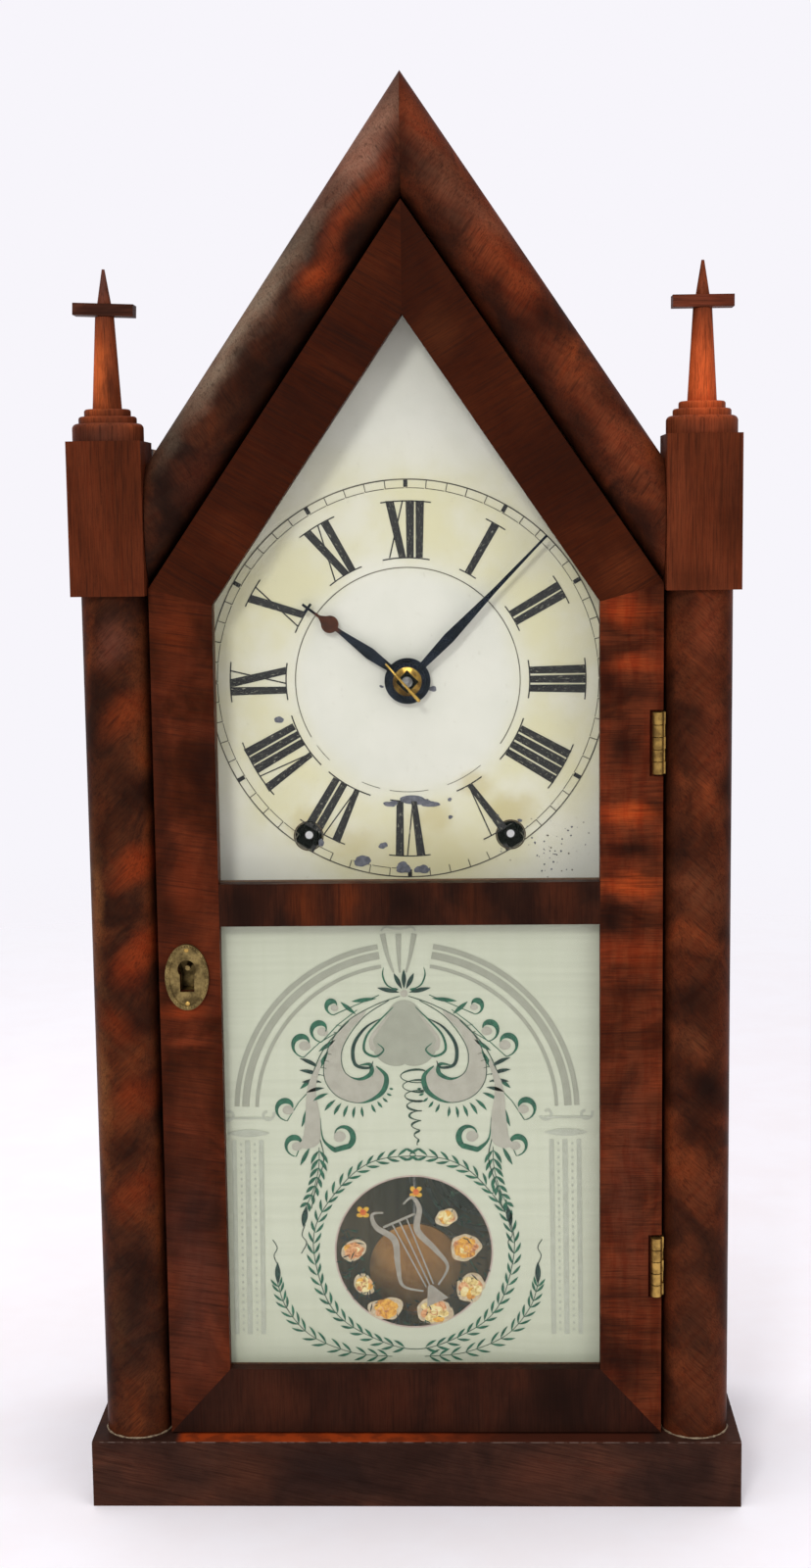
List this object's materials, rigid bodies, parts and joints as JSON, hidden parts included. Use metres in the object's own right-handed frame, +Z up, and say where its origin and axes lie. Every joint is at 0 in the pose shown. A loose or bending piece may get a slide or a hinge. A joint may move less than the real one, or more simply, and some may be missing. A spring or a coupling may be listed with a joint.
{
  "type": "steeple clock",
  "caption": "Pointed wooden shelf clock with a glazed door, painted dial, painted lower glass, half-round columns, turned finials and a wound time and strike movement.",
  "frame": {"origin": "under the middle of the base, on the surface that the clock stands on", "axes": "+Z up, +X to the right seen from the front, +Y from the front to the back"},
  "size_m": [0.236, 0.108, 0.508],
  "materials": {
    "flame_veneer": "semi-gloss old varnish",
    "turned_mahogany": "satin",
    "side_veneer": "satin",
    "pine": "bare",
    "painted_tin": "satin, aged",
    "clear_glass": "clear",
    "painted_glass": "painted on the back",
    "blued_steel": "blued",
    "polished_brass": "polished",
    "aged_brass": "tarnished",
    "movement_brass": "satin",
    "steel": "satin",
    "cast_iron": "matt black"
  },
  "bodies": {
    "case": {"base": "flame_veneer", "case_side_left": "side_veneer", "case_side_right": "side_veneer", "front_stile_left": "pine", "front_stile_right": "pine", "roof_board_left": "side_veneer", "roof_board_right": "side_veneer", "back_board": "pine", "column_left": "flame_veneer", "column_right": "flame_veneer", "capital_block_left": "turned_mahogany", "capital_block_right": "turned_mahogany", "gable_moulding_left": "flame_veneer", "gable_moulding_right": "flame_veneer", "finial_left": "turned_mahogany", "finial_right": "turned_mahogany", "finial_crossbars": "turned_mahogany", "dial": "painted_tin", "hinge_case_leaves": "aged_brass", "front_plate": "movement_brass", "back_plate": "movement_brass", "plate_pillars": "movement_brass", "mounting_blocks": "pine", "mainsprings": "steel", "gong_base": "cast_iron", "gong_coil": "steel"},
    "door": {"door_stile_left": "flame_veneer", "door_stile_right": "flame_veneer", "door_bottom_rail": "flame_veneer", "door_middle_rail": "flame_veneer", "door_gable_rail_left": "flame_veneer", "door_gable_rail_right": "flame_veneer", "upper_glass": "clear_glass", "tablet_glass": "painted_glass", "glazing_strips": "pine", "hinge_door_leaves": "aged_brass", "escutcheon": "aged_brass", "lock_case": "aged_brass"},
    "bolt": {"lock_bolt": "aged_brass"},
    "minute_arbor": {"centre_wheel": "movement_brass", "minute_hand": "blued_steel", "hand_collet": "polished_brass"},
    "hour_pipe": {"hour_wheel": "movement_brass", "hour_hand": "blued_steel"},
    "motion_wheel": {"minute_wheel": "movement_brass"},
    "time_second": {"time_second_wheel": "movement_brass"},
    "time_great": {"time_great_wheel": "movement_brass"},
    "time_winding": {"time_winding_arbor": "steel"},
    "third": {"third_wheel": "movement_brass"},
    "escape": {"escape_wheel": "movement_brass"},
    "pendulum": {"pendulum_rod": "steel", "pendulum_bob": "movement_brass", "rating_nut": "movement_brass"},
    "verge": {"verge": "steel"},
    "strike_winding": {"strike_winding_arbor": "steel"},
    "strike_great": {"strike_great_wheel": "movement_brass"},
    "strike_second": {"strike_second_wheel": "movement_brass"},
    "warning": {"warning_wheel": "movement_brass"},
    "fly": {"fly": "movement_brass"},
    "hammer": {"hammer": "steel"}
  },
  "joints": [
    {"name": "door_swing", "type": "hinge", "parent": "case", "child": "door", "pos_m": [0.0876, -0.048, 0.18], "axis": [0, 0, 1], "range_deg": [0, 105]},
    {"name": "bolt_throw", "type": "slide", "parent": "door", "child": "bolt", "axis": [-1, 0, 0], "range_m": [0, 0.004]},
    {"name": "hands_turn", "type": "hinge", "parent": "case", "child": "minute_arbor", "pos_m": [0, 0, 0.2995], "axis": [0, 1, 0], "continuous": true},
    {"name": "hour_turn", "type": "hinge", "parent": "case", "child": "hour_pipe", "pos_m": [0, 0, 0.2995], "axis": [0, 1, 0], "continuous": true},
    {"name": "motion_wheel_turn", "type": "hinge", "parent": "case", "child": "motion_wheel", "pos_m": [0.016, 0, 0.2995], "axis": [0, 1, 0], "continuous": true},
    {"name": "time_second_turn", "type": "hinge", "parent": "case", "child": "time_second", "pos_m": [0.02331, 0, 0.277], "axis": [0, 1, 0], "continuous": true},
    {"name": "time_great_turn", "type": "hinge", "parent": "case", "child": "time_great", "pos_m": [0.0365, 0, 0.2435], "axis": [0, 1, 0], "continuous": true},
    {"name": "third_turn", "type": "hinge", "parent": "case", "child": "third", "pos_m": [-0.02242, 0, 0.3014], "axis": [0, 1, 0], "continuous": true},
    {"name": "escape_turn", "type": "hinge", "parent": "case", "child": "escape", "pos_m": [-0.01191, 0, 0.32009], "axis": [0, 1, 0], "continuous": true},
    {"name": "time_winding_turn", "type": "hinge", "parent": "case", "child": "time_winding", "pos_m": [0.0365, 0, 0.2435], "axis": [0, 1, 0], "continuous": true},
    {"name": "strike_winding_turn", "type": "hinge", "parent": "case", "child": "strike_winding", "pos_m": [-0.0365, 0, 0.2435], "axis": [0, 1, 0], "continuous": true},
    {"name": "pendulum_swing", "type": "hinge", "parent": "case", "child": "pendulum", "pos_m": [0, 0, 0.332], "axis": [0, 1, 0], "range_deg": [-3, 3]},
    {"name": "verge_rock", "type": "hinge", "parent": "case", "child": "verge", "pos_m": [0, 0, 0.332], "axis": [0, 1, 0], "range_deg": [-3, 3]},
    {"name": "strike_turn", "type": "hinge", "parent": "case", "child": "strike_second", "pos_m": [-0.02115, 0, 0.27495], "axis": [0, 1, 0], "continuous": true},
    {"name": "strike_great_turn", "type": "hinge", "parent": "case", "child": "strike_great", "pos_m": [-0.0365, 0, 0.2435], "axis": [0, 1, 0], "continuous": true},
    {"name": "warning_turn", "type": "hinge", "parent": "case", "child": "warning", "pos_m": [-0.0437, 0, 0.28797], "axis": [0, 1, 0], "continuous": true},
    {"name": "fly_turn", "type": "hinge", "parent": "case", "child": "fly", "pos_m": [-0.04698, 0, 0.30659], "axis": [0, 1, 0], "continuous": true},
    {"name": "hammer_lift", "type": "hinge", "parent": "case", "child": "hammer", "pos_m": [0.0015, 0, 0.26], "axis": [0, 1, 0], "range_deg": [0, 14]}
  ],
  "couplings": [
    {"joint": "hour_turn", "follows": "hands_turn", "ratio": 0.083333},
    {"joint": "motion_wheel_turn", "follows": "hands_turn", "ratio": -0.33333},
    {"joint": "time_second_turn", "follows": "hands_turn", "ratio": -0.33333},
    {"joint": "time_great_turn", "follows": "hands_turn", "ratio": 0.066667},
    {"joint": "third_turn", "follows": "hands_turn", "ratio": -9},
    {"joint": "escape_turn", "follows": "hands_turn", "ratio": 90},
    {"joint": "verge_rock", "follows": "pendulum_swing", "ratio": 1},
    {"joint": "strike_great_turn", "follows": "strike_turn", "ratio": -0.16667},
    {"joint": "warning_turn", "follows": "strike_turn", "ratio": -13},
    {"joint": "fly_turn", "follows": "strike_turn", "ratio": 104}
  ]
}
